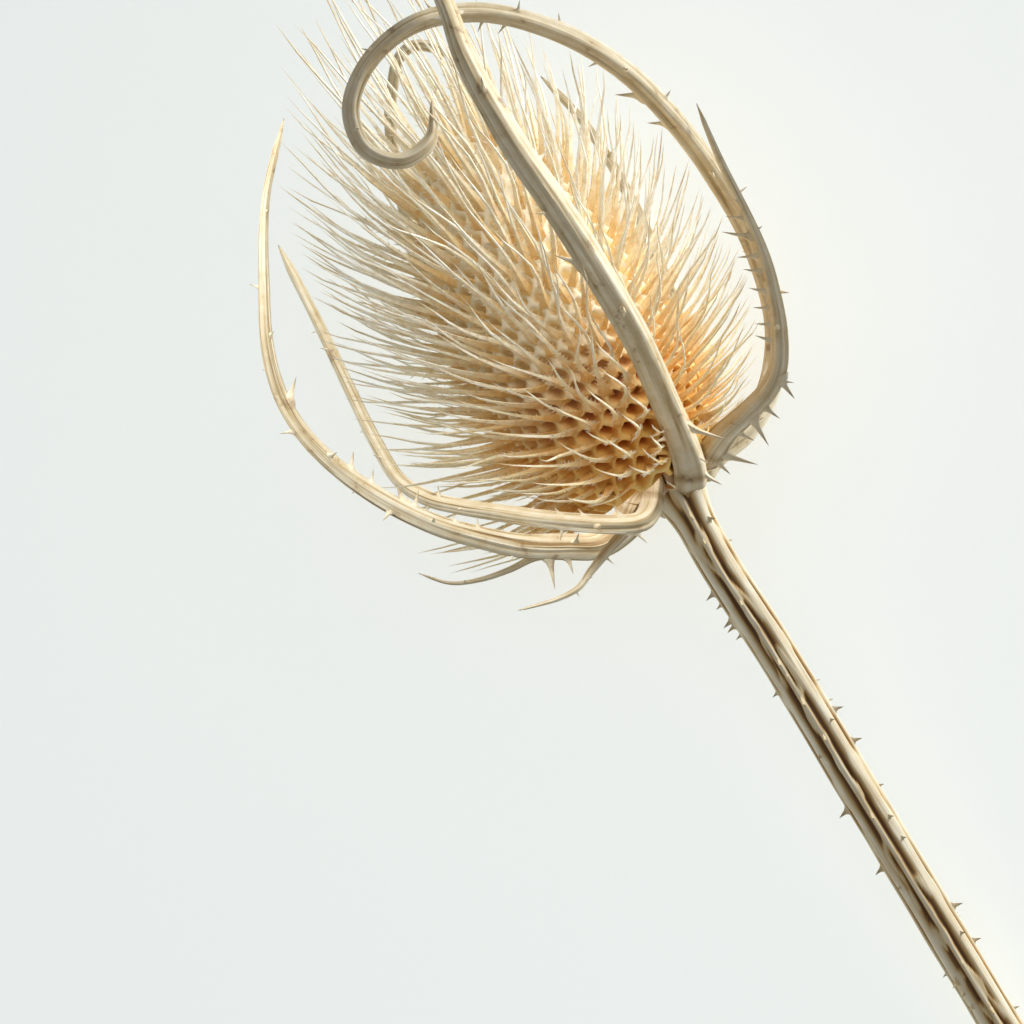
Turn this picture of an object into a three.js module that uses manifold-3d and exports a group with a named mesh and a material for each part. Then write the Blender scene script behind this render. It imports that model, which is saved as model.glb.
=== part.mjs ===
// A dried teasel seed head on its cut stem, lying on a flat surface.
// Millimetres, +Z up. Every piece is modelled in the plant's own frame: growth axis +Z, origin where
// the stem meets the head, -Y towards the viewer, +X to the viewer's right. A group then lays it down.
import * as THREE from "three";
import { mergeVertices } from "three/addons/utils/BufferGeometryUtils.js";
import Module from "manifold-3d";

const wasm = await Module();
wasm.setup();

// Driving dimensions, in millimetres
const GAP = 0.3; // between pieces that touch on the plant
const STEM = {
  length: 100, radius: 2.75, ribs: 8, ribDepth: 0.14, collarRadius: 4.2, collarHeight: 9, top: 1.2,
};
const CORE = {
  bottom: STEM.top + GAP, height: 52.5, radius: 13.4, widestAt: 0.42, shift: -2.5, sides: 14, rings: 8,
};
const SPINE = {
  count: 370, sideLength: 15, topLength: 25, spread: 1.12, lean: 0.1, rootRadius: 1.05, neckRadius: 0.5,
  sunk: 1.2,
};
const BRACT = { rootRadius: STEM.collarRadius + GAP + 0.3, sides: 6, innerShare: 0.75 };
const PRICKLE = { length: 3.4, radius: 0.62, sunk: 0.7, onStem: 44, stemLength: 1.5, stemRadius: 0.45 };
const CLEARANCE = 0.35; // left between a spine and any bract or prickle
const FLOOR_CLEARANCE = 0.6; // left between the spines and the surface below

// How the plant lies: leaning up from the cut end of its stem, with its far side down
const LEAN = THREE.MathUtils.degToRad(10.5);
const PLANT_AT = new THREE.Vector3(8.1, -5.6, 20.5);

// Bracts below the head: azimuth and height of the root, greatest width, share of it lost towards
// the tip and how late, and the points that the midline passes after leaving the stem
const BRACTS = [
  {
    name: "bract_front", azimuth: -68, height: 0, width: 3.7, taper: 0.9, late: 4,
    steps: 22, prickles: 11, seed: 11,
    route: [
      [2.8, -7.5, 1], [3.8, -15, 9.5], [4.5, -22, 18.5], [4.4, -26, 29], [4, -28, 38.2],
      [3.5, -28, 47.4], [3.9, -26, 59], [5.3, -23.5, 66], [6.5, -19, 75], [6, -13.5, 83],
    ],
  },
  {
    name: "bract_right", azimuth: -28, height: 0, width: 3.6, taper: 0.85,
    steps: 18, prickles: 12, seed: 23,
    route: [
      [8.6, -5.2, 1.5], [12.8, -7, 2.4], [16.4, -8.5, 3.5], [18.8, -9.5, 5.2], [21.3, -10, 9],
      [23.4, -9.5, 14], [25.2, -8.5, 20], [27, -5, 33.5], [28.3, -3, 41],
    ],
  },
  {
    name: "bract_curled", azimuth: 38, height: 0, width: 3.9, taper: 0.5,
    steps: 36, prickles: 13, seed: 35,
    route: [
      [6.5, 5.2, 0], [12.5, 10, 0.6], [18.2, 15.6, 3.3], [22.8, 17.2, 8.5], [25.4, 15, 15],
      [26.5, 9.5, 23.5], [26, 3, 32.6], [24.2, -4.5, 42], [21.2, -10, 50.5], [16.2, -14.3, 58],
      [9, -17.5, 64.5], [1, -19.5, 67.3], [-6.7, -20.5, 66], [-11.8, -21, 61.9], [-12.8, -21, 56.5],
      [-9.6, -20.3, 53], [-5, -19, 53.5], [-2.1, -16.5, 58],
    ],
  },
  {
    name: "bract_low_left", azimuth: -131, height: -0.8, width: 2.9, taper: 0.55,
    steps: 26, prickles: 10, seed: 47,
    route: [
      [-4.8, -5.7, -2], [-6.9, -8, -2.7], [-10, -8, -1.2], [-13.7, -7, 1.3], [-18, -5, 4.5],
      [-22, -2, 7.8], [-26.2, 1, 11.3], [-29.2, 4, 14.3], [-31.4, 8, 18.6], [-31.6, 12, 25.2],
      [-31, 15, 33], [-30, 18, 44], [-29.3, 20, 55.5],
    ],
  },
  {
    name: "bract_wide_left", azimuth: 176, height: -0.6, width: 4.2, taper: 0.8,
    steps: 26, prickles: 13, seed: 59,
    route: [
      [-8, 0.8, -2], [-12.8, 1, -2.7], [-17.5, -2, -0.3], [-22, -5, 2.6], [-26, -8, 6.3],
      [-29.7, -10, 10.3], [-33, -11.5, 15], [-35.8, -12.5, 20.3], [-37.8, -13.5, 25.8],
      [-38.7, -14, 30.4], [-38.6, -14, 35.6], [-37, -14, 41.4], [-32.8, -12, 49.7], [-27.2, -8, 59],
      [-19.6, -2, 67.6],
    ],
  },
  {
    name: "bract_thin_back", azimuth: 148, height: -2.6, width: 1.9, taper: 0.85,
    steps: 14, prickles: 3, seed: 61,
    route: [
      [-7.5, 4.6, -3.2], [-13, 5.5, -3], [-18, 5, -1.2], [-21, 4.6, 0.2], [-25, 5, 0.6],
      [-29, 5, 1.5], [-32.7, 5, 3.2], [-35.7, 4, 6.6],
    ],
  },
  {
    name: "bract_thin_front", azimuth: -160, height: -2.8, width: 1.9, taper: 0.85,
    steps: 14, prickles: 4, seed: 73,
    route: [
      [-8, -2.8, -4.3], [-12.3, -3.4, -4], [-15.9, -7, -5], [-18.3, -9, -5.9], [-21, -10, -5.8],
      [-26.6, -12, -4.3],
    ],
  },
  {
    name: "bract_back_right", azimuth: 72, height: -0.4, width: 3.6, taper: 0.7,
    steps: 18, prickles: 7, seed: 85,
    route: [
      [3, 9, -0.8], [6, 15, 2], [9.5, 19.5, 9], [13, 22.3, 19], [15, 25.2, 27], [16, 26.4, 33.5],
      [16.5, 26.6, 41], [16, 24.8, 49], [14, 21.5, 57],
    ],
  },
  {
    name: "bract_back_left", azimuth: 108, height: -0.4, width: 3.6, taper: 0.6,
    steps: 26, prickles: 7, seed: 97,
    route: [
      [-3.5, 9, -0.8], [-7, 15, 2], [-10.5, 19.5, 9], [-13.5, 22.3, 19], [-15, 24.7, 27],
      [-15.5, 26, 33.5], [-14.5, 26, 41], [-12, 24, 50], [-7.5, 19, 61.5], [-4.8, 17, 65.4],
      [-1.9, 15, 68.4], [0.6, 14, 68.8], [3.1, 13, 66.9], [4.7, 12, 64.2], [4.5, 11.5, 60.7],
    ],
  },
];

const STRAW = new THREE.MeshStandardMaterial({ color: "#dccba2", roughness: 0.75, metalness: 0 });
const STEM_TAN = new THREE.MeshStandardMaterial({ color: "#c4ab78", roughness: 0.7, metalness: 0 });
const HEAD_GOLD = new THREE.MeshStandardMaterial({ color: "#d6b26c", roughness: 0.8, metalness: 0 });

const GROWTH = new THREE.Vector3(0, 0, 1);
const GOLDEN_ANGLE = Math.PI * (3 - Math.sqrt(5));

// Repeatable random numbers from 0 to 1
function seededRandom(seed) {
  let state = seed;
  return () => {
    state = (state * 1664525 + 1013904223) % 4294967296;
    return state / 4294967296;
  };
}

function around(azimuth, radius, height) {
  return new THREE.Vector3(radius * Math.cos(azimuth), radius * Math.sin(azimuth), height);
}

// Closed solids and back
function solidOf(geometry) {
  const bare = geometry.clone();
  bare.deleteAttribute("normal");
  bare.deleteAttribute("uv");
  const merged = mergeVertices(bare, 1e-4);
  const corners = merged.index.array;
  const kept = [];
  for (let i = 0; i < corners.length; i += 3) {
    const [a, b, c] = corners.slice(i, i + 3);
    if (a !== b && b !== c && a !== c) kept.push(a, b, c);
  }
  const vertProperties = new Float32Array(merged.getAttribute("position").array);
  const triVerts = new Uint32Array(kept);
  return new wasm.Manifold(new wasm.Mesh({ numProp: 3, vertProperties, triVerts }));
}

function geometryOf(solid) {
  const { vertProperties, triVerts } = solid.getMesh();
  const geometry = new THREE.BufferGeometry();
  geometry.setAttribute("position", new THREE.BufferAttribute(vertProperties, 3));
  geometry.setIndex(new THREE.BufferAttribute(triVerts, 1));
  return geometry;
}

function fuse(geometries) {
  return geometries.map(solidOf).reduce((whole, piece) => whole.add(piece));
}

// Frames along a curve, each turned as little as possible from the one before
function framesAlong(curve, steps, firstInner) {
  const inner = firstInner.clone();
  const frames = [];
  for (let i = 0; i <= steps; i++) {
    const along = curve.getTangentAt(i / steps);
    inner.addScaledVector(along, -inner.dot(along)).normalize();
    const across = along.clone().cross(inner);
    frames.push({ at: curve.getPointAt(i / steps), along, inner: inner.clone(), across });
  }
  return frames;
}

// A closed body along frames, pointed unless blunt; outline(angle, t, frame) gives how far a point of
// its section lies across and inwards from the midline
function sweep(frames, sides, outline, blunt = false) {
  const steps = frames.length - 1;
  const body = new THREE.CylinderGeometry(blunt ? 1 : 0, 1, 1, sides, steps);
  const position = body.getAttribute("position");
  const point = new THREE.Vector3();
  for (let i = 0; i < position.count; i++) {
    const [x, y, z] = [position.getX(i), position.getY(i), position.getZ(i)];
    const t = y + 0.5;
    const frame = frames[Math.round(t * steps)];
    const onMidline = Math.hypot(x, z) < 1e-6;
    const [across, inwards] = onMidline ? [0, 0] : outline(Math.atan2(z, x), t, frame);
    point.copy(frame.at).addScaledVector(frame.across, across).addScaledVector(frame.inner, inwards);
    position.setXYZ(i, point.x, point.y, point.z);
  }
  return body;
}

// A three-sided thorn from root towards tip, its root sunk below the surface
function thorn(root, direction, length, radius, sunk) {
  const cone = new THREE.ConeGeometry(radius, length + sunk, 3, 1);
  cone.translate(0, (length - sunk) / 2, 0);
  cone.applyQuaternion(new THREE.Quaternion().setFromUnitVectors(new THREE.Vector3(0, 1, 0), direction));
  return cone.translate(root.x, root.y, root.z);
}

// The plant's place on the surface below it, and that surface as a block in the plant's frame
const plant = new THREE.Group();
plant.quaternion.setFromRotationMatrix(
  new THREE.Matrix4().makeBasis(
    new THREE.Vector3(0, -1, 0),
    new THREE.Vector3(Math.sin(LEAN), 0, -Math.cos(LEAN)),
    new THREE.Vector3(Math.cos(LEAN), 0, Math.sin(LEAN)),
  ),
);
plant.position.copy(PLANT_AT);
plant.updateMatrixWorld();

const FLOOR_BLOCK = 400;
const floorBelow = solidOf(
  new THREE.BoxGeometry(FLOOR_BLOCK, FLOOR_BLOCK, FLOOR_BLOCK)
    .translate(0, 0, -FLOOR_BLOCK / 2)
    .applyMatrix4(plant.matrixWorld.clone().invert()),
);

function heightAboveFloor(point) {
  return plant.localToWorld(point.clone()).z;
}

// Spheres that the spines keep clear of: along each bract and each of its prickles
const obstacles = [];

// Stem: ribbed, widening into the collar that carries the head, with short prickles on its ribs
function stemRadius(z) {
  const flare = THREE.MathUtils.smoothstep(z, STEM.top - STEM.collarHeight, STEM.top);
  return THREE.MathUtils.lerp(STEM.radius, STEM.collarRadius, flare);
}

function stemSolid() {
  const ribStep = (2 * Math.PI) / STEM.ribs;
  const flareSteps = [1, 0.75, 0.55, 0.35, 0.15, 0].map((share) => STEM.top - share * STEM.collarHeight);
  const frames = [-STEM.length, -STEM.length / 2, ...flareSteps].map((z) => ({
    at: new THREE.Vector3(0, 0, z),
    inner: new THREE.Vector3(0, 1, 0),
    across: new THREE.Vector3(-1, 0, 0),
  }));
  const shaft = sweep(frames, STEM.ribs * 2, (angle, t, frame) => {
    const onRib = Math.round(angle / (ribStep / 2)) % 2 === 0;
    const radius = stemRadius(frame.at.z) * (onRib ? 1 : 1 - STEM.ribDepth);
    return [radius * Math.cos(angle), radius * Math.sin(angle)];
  }, true);
  const random = seededRandom(5);
  const prickles = Array.from({ length: PRICKLE.onStem }, (_, i) => {
    const z = -STEM.length + 4 + ((i + random()) / PRICKLE.onStem) * (STEM.length - 10);
    const azimuth = ribStep * Math.floor(random() * STEM.ribs);
    const outwards = around(azimuth, 1, 0.25 - 0.6 * random()).normalize();
    const length = PRICKLE.stemLength * (0.6 + 0.8 * random());
    return thorn(around(azimuth, stemRadius(z), z), outwards, length, PRICKLE.stemRadius, PRICKLE.sunk);
  });
  return fuse([shaft, ...prickles]).subtract(floorBelow);
}

// Bracts: long keeled strips that bow out round the head, with prickles on both edges and the keel
function bractWidth(bract, t) {
  const neck = Math.min(1, 0.5 + 5 * t);
  return bract.width * neck * (1 - bract.taper * t ** (bract.late ?? 1));
}

function bractOutline(bract, angle, t) {
  const half = bractWidth(bract, t) / 2;
  const depth = half * (Math.sin(angle) < 0 ? 1 : BRACT.innerShare);
  return [half * Math.cos(angle), depth * Math.sin(angle)];
}

function bractSolid(bract) {
  const azimuth = THREE.MathUtils.degToRad(bract.azimuth);
  const root = around(azimuth, BRACT.rootRadius, bract.height);
  const curve = new THREE.CatmullRomCurve3([root, ...bract.route.map((p) => new THREE.Vector3(...p))]);
  const frames = framesAlong(curve, bract.steps, GROWTH);
  const strip = sweep(frames, BRACT.sides, (angle, t) => bractOutline(bract, angle, t));
  for (let i = 0; i <= 80; i++) {
    obstacles.push(new THREE.Sphere(curve.getPointAt(i / 80), bractWidth(bract, i / 80) / 2 + 0.15));
  }
  const random = seededRandom(bract.seed);
  const edges = [0, Math.PI, -Math.PI / 2];
  const prickles = Array.from({ length: bract.prickles }, (_, i) => {
    const t = 0.07 + (0.78 * (i + 0.7 * random())) / bract.prickles;
    const frame = frames[Math.round(t * bract.steps)];
    const [across, inwards] = bractOutline(bract, edges[i % edges.length], t);
    const offset = new THREE.Vector3()
      .addScaledVector(frame.across, across)
      .addScaledVector(frame.inner, inwards);
    const base = frame.at.clone().add(offset);
    const direction = offset.normalize().addScaledVector(frame.along, 0.7 * random() - 0.3).normalize();
    const size = Math.min(1, bract.width / 3);
    const length = size * PRICKLE.length * (1 - 0.45 * t) * (0.6 + 0.6 * random());
    const radius = size * PRICKLE.radius;
    for (const share of [0.3, 0.65, 1]) {
      obstacles.push(new THREE.Sphere(base.clone().addScaledVector(direction, share * length), 0.2));
    }
    return thorn(base, direction, length, radius, PRICKLE.sunk);
  });
  return fuse([strip, ...prickles]).subtract(floorBelow);
}

// Seed head: an egg-shaped core and the spines that stand out of it on golden-angle spirals
function coreRadius(z) {
  const fromWidest = (z - CORE.bottom) / CORE.height - CORE.widestAt;
  const reach = fromWidest > 0 ? 1 - CORE.widestAt : CORE.widestAt + 0.05;
  return CORE.radius * Math.sqrt(Math.max(0, 1 - (fromWidest / reach) ** 2));
}

function coreGeometry() {
  const profile = [new THREE.Vector2(0, CORE.bottom)];
  for (let i = 0; i < CORE.rings; i++) {
    const z = CORE.bottom + (CORE.height * (1 - Math.cos((Math.PI * i) / CORE.rings))) / 2;
    profile.push(new THREE.Vector2(coreRadius(z), z));
  }
  profile.push(new THREE.Vector2(0, CORE.bottom + CORE.height));
  const core = new THREE.LatheGeometry(profile, CORE.sides).rotateX(Math.PI / 2);
  return core.translate(CORE.shift, 0, 0);
}

// Heights on the core that split its surface into equal areas, one for each spine
function spineHeights() {
  const slices = 400;
  const areas = [0];
  for (let i = 0; i < slices; i++) {
    const [low, high] = [i, i + 1].map((k) => CORE.bottom + (CORE.height * k) / slices);
    const [inner, outer] = [coreRadius(low), coreRadius(high)];
    areas.push(areas[i] + ((inner + outer) / 2) * Math.hypot(high - low, outer - inner));
  }
  return Array.from({ length: SPINE.count }, (_, i) => {
    const wanted = (areas[slices] * (i + 0.5)) / SPINE.count;
    const k = areas.findIndex((area) => area >= wanted);
    const within = (wanted - areas[k - 1]) / (areas[k] - areas[k - 1]);
    return CORE.bottom + (CORE.height * (k - 1 + within)) / slices;
  });
}

// The midline of one spine, level at the foot of the head and upright at its top, bending up to the tip
function spineCurve(azimuth, z, length, swing) {
  const u = (z - CORE.bottom) / CORE.height;
  const slope = THREE.MathUtils.degToRad(92) * (1 - u) ** 0.75;
  const root = around(azimuth, coreRadius(z), z);
  root.x += CORE.shift;
  const heading = (polar) => around(azimuth + swing, Math.sin(polar), Math.cos(polar));
  const middle = root.clone().addScaledVector(heading(slope + 0.1), length * 0.45);
  const tip = middle.clone().addScaledVector(heading(slope - 0.14), length * 0.55);
  const buried = root.clone().addScaledVector(heading(slope + 0.1), -SPINE.sunk);
  return { points: [buried, middle, tip], root };
}

function isClear({ points: [, middle, tip], root }) {
  const samples = [];
  for (const share of [0.35, 0.7, 1]) {
    samples.push(root.clone().lerp(middle, share), middle.clone().lerp(tip, share));
  }
  const apart = CLEARANCE + SPINE.neckRadius;
  const blocked = samples.some((p) => obstacles.some((o) => o.distanceToPoint(p) < apart));
  const aboveStem = root.z - SPINE.rootRadius > CORE.bottom;
  return !blocked && aboveStem && samples.every((p) => heightAboveFloor(p) > FLOOR_CLEARANCE);
}

// The first of a few shapes of a spine that misses the bracts and the floor: swung aside, then shorter
function clearSpine(azimuth, z, length) {
  for (const share of [1, 0.8, 0.6, 0.4]) {
    for (const swing of [0, 0.14, -0.14, 0.28, -0.28]) {
      const spine = spineCurve(azimuth, z, length * share, swing);
      if (isClear(spine)) return spine;
    }
  }
  return null;
}

function spineGeometry({ points: [buried, middle, tip] }) {
  const body = new THREE.ConeGeometry(1, 1, 3, 2);
  const along = middle.clone().sub(buried).normalize();
  const across = along.clone().cross(GROWTH).normalize();
  const inner = across.clone().cross(along);
  const stations = [[buried, SPINE.rootRadius], [middle, SPINE.neckRadius], [tip, 0]];
  const position = body.getAttribute("position");
  for (let i = 0; i < position.count; i++) {
    const [x, y, z] = [position.getX(i), position.getY(i), position.getZ(i)];
    const [at, radius] = stations[Math.round((y + 0.5) * 2)];
    const reach = Math.hypot(x, z);
    const point = at.clone();
    if (reach > 1e-6) {
      point.addScaledVector(across, (radius * x) / reach).addScaledVector(inner, (radius * z) / reach);
    }
    position.setXYZ(i, point.x, point.y, point.z);
  }
  return body;
}

function headSolid() {
  const random = seededRandom(7);
  const spines = spineHeights().map((z, i) => {
    const u = (z - CORE.bottom) / CORE.height;
    const azimuth = i * GOLDEN_ANGLE;
    const fullness = SPINE.spread - SPINE.lean * Math.cos(azimuth); // longer to the viewer's left
    const length = fullness * THREE.MathUtils.lerp(SPINE.sideLength, SPINE.topLength, u ** 5);
    return clearSpine(azimuth, z, length * (0.9 + 0.2 * random()));
  });
  return fuse([coreGeometry(), ...spines.filter(Boolean).map(spineGeometry)]);
}

function addPiece(name, solid, material) {
  const mesh = new THREE.Mesh(geometryOf(solid), material);
  mesh.name = name;
  plant.add(mesh);
}

addPiece("stem", stemSolid(), STEM_TAN);
for (const bract of BRACTS) addPiece(bract.name, bractSolid(bract), STRAW);
addPiece("seed_head", headSolid(), HEAD_GOLD);

const teasel = new THREE.Group();
teasel.add(plant);

export default teasel;
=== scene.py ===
import math
import random

import bpy
import numpy as np
from mathutils import Matrix, Vector, noise


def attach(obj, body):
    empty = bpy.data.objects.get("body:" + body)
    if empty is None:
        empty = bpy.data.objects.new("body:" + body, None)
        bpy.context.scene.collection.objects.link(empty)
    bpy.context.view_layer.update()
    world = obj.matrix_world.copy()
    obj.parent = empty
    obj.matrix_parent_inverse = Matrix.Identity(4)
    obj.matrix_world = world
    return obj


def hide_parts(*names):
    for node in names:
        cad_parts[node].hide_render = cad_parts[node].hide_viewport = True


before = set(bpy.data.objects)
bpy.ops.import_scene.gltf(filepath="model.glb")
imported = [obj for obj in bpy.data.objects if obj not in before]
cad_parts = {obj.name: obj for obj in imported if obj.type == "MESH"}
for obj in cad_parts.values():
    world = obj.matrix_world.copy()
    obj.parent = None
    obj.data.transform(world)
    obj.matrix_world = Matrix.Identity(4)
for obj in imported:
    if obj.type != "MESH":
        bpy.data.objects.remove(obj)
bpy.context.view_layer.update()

# How the plant lies. Every piece is modelled upright in millimetres, growing along +Z from the top of
# the stem, with -Y towards the viewer and +X to the viewer's right, and is then laid down.
LEAN = math.radians(10.5)
STEM_TOP_AT = Vector((0.0081, -0.0056, 0.0205))
TO_THE_RIGHT = Vector((0, -1, 0))
AWAY = Vector((math.sin(LEAN), 0, -math.cos(LEAN)))
GROWTH = Vector((math.cos(LEAN), 0, math.sin(LEAN)))
LYING = (Matrix.Translation(STEM_TOP_AT)
         @ Matrix((TO_THE_RIGHT, AWAY, GROWTH)).transposed().to_4x4()
         @ Matrix.Scale(0.001, 4))

# The viewer's camera is rolled, so the plant grows up and to the left in the picture
VIEW_ROLL = math.radians(31)
VIEW_RIGHT = Vector((math.cos(VIEW_ROLL), 0, -math.sin(VIEW_ROLL)))
VIEW_UP = Vector((math.sin(VIEW_ROLL), 0, math.cos(VIEW_ROLL)))
VIEWER_AT = Vector((-20.6, -520, 7.1))

STEM_LENGTH, STEM_RADIUS, GROOVE_DEPTH, STEM_PRICKLES = 100, 2.75, 0.17, 64
COLLAR_RADIUS, COLLAR_HEIGHT, STEM_TOP, SOCKET_DEPTH = 4.2, 9, 1.2, 2.5
# Ribs of the stem: azimuth and half width, in degrees
STEM_RIBS = [(-10, 13), (-50, 21), (-95, 9), (-138, 18), (-178, 15), (132, 18), (88, 15), (40, 18)]
CORE_BOTTOM, CORE_HEIGHT, CORE_RADIUS, CORE_WIDEST, CORE_SHIFT = 0.8, 53.2, 13.4, 0.42, -2.5
BRACT_FOOT_RADIUS, BRACT_STEP = 2.5, 0.55
SPINES, UNDER_SPINES, COLLAR_COMBS, SIDE_SPINE, TOP_SPINE = 620, 30, 14, 15.0, 25.0
GOLDEN_ANGLE = math.pi * (3 - math.sqrt(5))

# Bracts: node, azimuth and height of the foot on the stem, width, share of it lost at the tip, midline
BRACTS = {
    "front_bract": ("bract_front", -68, -3.5, 4.2, 0.9, [
        (2.8, -7.5, 1), (3.8, -15, 9.5), (4.5, -22, 18.5), (4.4, -26, 29), (4, -28, 38.2),
        (3.5, -28, 47.4), (3.9, -26, 59), (5.3, -23.5, 66), (6.5, -19, 75), (6, -13.5, 83)]),
    "right_bract": ("bract_right", -28, -1.5, 3.6, 0.85, [
        (8.6, -5.2, 1.5), (12.8, -7, 2.4), (16.4, -8.5, 3.5), (18.8, -9.5, 5.2), (21.3, -10, 9),
        (23.4, -9.5, 14), (25.2, -8.5, 20), (27, -5, 33.5), (28.3, -3, 41)]),
    "curled_bract": ("bract_curled", 38, -2, 3.9, 0.5, [
        (6.5, 5.2, 0), (12.5, 10, 0.6), (18.2, 15.6, 3.3), (22.8, 17.2, 8.5), (25.4, 15, 15),
        (26.5, 9.5, 23.5), (26, 3, 32.6), (24.2, -4.5, 42), (21.2, -10, 50.5), (16.2, -14.3, 58),
        (9, -17.5, 64.5), (1, -19.5, 67.3), (-6.7, -20.5, 66), (-11.8, -21, 61.9),
        (-12.8, -21, 56.5), (-9.6, -20.3, 53), (-5, -19, 53.5), (-2.1, -16.5, 58)]),
    "low_left_bract": ("bract_low_left", -112, 2.6, 2.9, 0.55, [
        (-4.8, -5.7, -2), (-6.9, -8, -2.7), (-10, -8, -1.2), (-13.7, -7, 1.3), (-18, -5, 4.5),
        (-22, -2, 7.8), (-26.2, 1, 11.3), (-29.2, 4, 14.3), (-31.4, 8, 18.6), (-31.6, 12, 25.2),
        (-31, 15, 33), (-30, 18, 44), (-29.3, 20, 55.5)]),
    "wide_left_bract": ("bract_wide_left", 176, 1.4, 4.2, 0.8, [
        (-8, 0.8, -2), (-12.8, 1, -2.7), (-17.5, -2, -0.3), (-22, -5, 2.6), (-26, -8, 6.3),
        (-29.7, -10, 10.3), (-33, -11.5, 15), (-35.8, -12.5, 20.3), (-37.8, -13.5, 25.8),
        (-38.7, -14, 30.4), (-38.6, -14, 35.6), (-37, -14, 41.4), (-32.8, -12, 49.7),
        (-27.2, -8, 59), (-19.6, -2, 67.6)]),
    "thin_back_bract": ("bract_thin_back", 148, -2, 1.9, 0.85, [
        (-7.5, 4.6, -3.2), (-13, 5.5, -3), (-18, 5, -1.2), (-21, 4.6, 0.2), (-25, 5, 0.6),
        (-29, 5, 1.5), (-32.7, 5, 3.2), (-35.7, 4, 6.6)]),
    "thin_front_bract": ("bract_thin_front", -160, -0.5, 1.9, 0.85, [
        (-7.5, -2.4, -2.4), (-12.3, -3.4, -3.8), (-15.9, -7, -5), (-18.3, -9, -5.9), (-21, -10, -5.8),
        (-26.6, -12, -4.3)]),
    "back_right_bract": ("bract_back_right", 72, -4, 3.6, 0.7, [
        (3, 9, -0.8), (6, 15, 2), (9.5, 19.5, 9), (13, 22.3, 19), (15, 25.2, 27),
        (16, 26.4, 33.5), (16.5, 26.6, 41), (16, 24.8, 49), (14, 21.5, 57)]),
    "back_left_bract": ("bract_back_left", 108, -4, 3.6, 0.6, [
        (-3.5, 9, -0.8), (-7, 15, 2), (-10.5, 19.5, 9), (-13.5, 22.3, 19), (-15, 24.7, 27),
        (-15.5, 26, 33.5), (-14.5, 26, 41), (-12, 24, 50), (-7.5, 19, 61.5), (-4.8, 17, 65.4),
        (-1.9, 15, 68.4), (0.6, 14, 68.8), (3.1, 13, 66.9), (4.7, 12, 64.2), (4.5, 11.5, 60.7)]),
}
# How late a bract narrows, where it doesn't narrow evenly
LATE_TAPERS = {"front_bract": 4}
# Bracts that no spine passes in front of
SHOWN_BRACTS = ["front_bract", "right_bract", "curled_bract", "low_left_bract", "wide_left_bract"]
# The large prickles that the viewer sees: share of the way along the bract, heading in the picture in
# degrees from its right-hand side, and length
SINGLE_PRICKLES = {
    "front_bract": [(0.02, -35, 3.2), (0.05, -40, 2.2), (0.1, -20, 5.6), (0.4, 170, 3.2)],
    "right_bract": [
        (0, -50, 2.4), (0.02, -20, 5), (0.1, -35, 2.4), (0.15, -65, 4.2), (0.2, -45, 2.6),
        (0.27, -60, 3), (0.36, 170, 2.4), (0.4, -175, 2.2), (0.44, -175, 2.2), (0.48, 175, 2.4),
        (0.53, -180, 2.6), (0.58, -170, 2.8), (0.63, 175, 4), (0.68, -180, 2.4)],
    "curled_bract": [
        (0.46, -175, 2.6), (0.5, -175, 3.4), (0.56, -145, 1.6), (0.61, 90, 1.6), (0.66, -120, 1.8),
        (0.68, -105, 1.8), (0.73, 120, 1.6)],
    "low_left_bract": [
        (0.09, -35, 2.3), (0.11, 115, 2.1), (0.17, 120, 1.4), (0.21, 120, 1.3), (0.43, 90, 1.6)],
    "wide_left_bract": [
        (0.13, -65, 2.4), (0.16, -75, 4.3), (0.27, 85, 1.4), (0.3, 95, 1.4), (0.36, 70, 2.4),
        (0.38, 105, 2.7), (0.43, 75, 2), (0.46, 75, 2.5), (0.59, 65, 3.2)],
}
# How many smaller prickles are scattered over each bract as well
PRICKLE_COUNTS = {
    "front_bract": 7, "right_bract": 8, "curled_bract": 16, "low_left_bract": 12, "wide_left_bract": 14,
    "thin_back_bract": 5, "thin_front_bract": 7, "back_right_bract": 14, "back_left_bract": 16,
}

# Flat sides of a bract: the angle that each faces, and its distance from the midline in half widths
BRACT_FACETS = [(-52, 0.76), (-145, 0.88), (40, 0.85), (138, 0.78)]
# How far they turn round the midline on the way to the tip, where they do, in degrees
FACET_TURNS = {"front_bract": 32}

# Depth of the fine lines along a bract, as a share of its width, where they are deeper than usual
# The same depth sets how much darker the lines are painted, as shade
LINE_DEPTHS = {"wide_left_bract": 0.1, "low_left_bract": 0.055, "curled_bract": 0.05}


# Working by hand: selecting, editing and joining

def select_only(*pieces):
    bpy.ops.object.select_all(action="DESELECT")
    for piece in pieces:
        piece.select_set(True)
    bpy.context.view_layer.objects.active = pieces[0]


def edit_vertices(piece, chosen):
    """Opens edit mode with only the chosen vertices selected."""
    mesh = piece.data
    mesh.polygons.foreach_set("select", [False] * len(mesh.polygons))
    mesh.edges.foreach_set("select", [False] * len(mesh.edges))
    mesh.vertices.foreach_set("select", [bool(c) for c in chosen])
    bpy.ops.object.mode_set(mode="EDIT")
    bpy.ops.mesh.select_mode(type="VERT")


def edit_all(piece):
    select_only(piece)
    bpy.ops.object.mode_set(mode="EDIT")
    bpy.ops.mesh.select_all(action="SELECT")


def leave_edit():
    bpy.ops.object.mode_set(mode="OBJECT")


def points_of(piece):
    flat = np.empty(len(piece.data.vertices) * 3, np.float32)
    piece.data.vertices.foreach_get("co", flat)
    return flat.reshape(-1, 3).astype(float)


def move_points(piece, points):
    piece.data.vertices.foreach_set("co", np.asarray(points, np.float32).ravel())
    piece.data.update()


def note_values(piece, name, values, kind="FLOAT"):
    """Stores one value, or one vector, for each vertex, for the materials to read."""
    layer = piece.data.attributes.get(name) or piece.data.attributes.new(name, kind, "POINT")
    field = "value" if kind == "FLOAT" else "vector"
    layer.data.foreach_set(field, np.asarray(values, np.float32).ravel())


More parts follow.
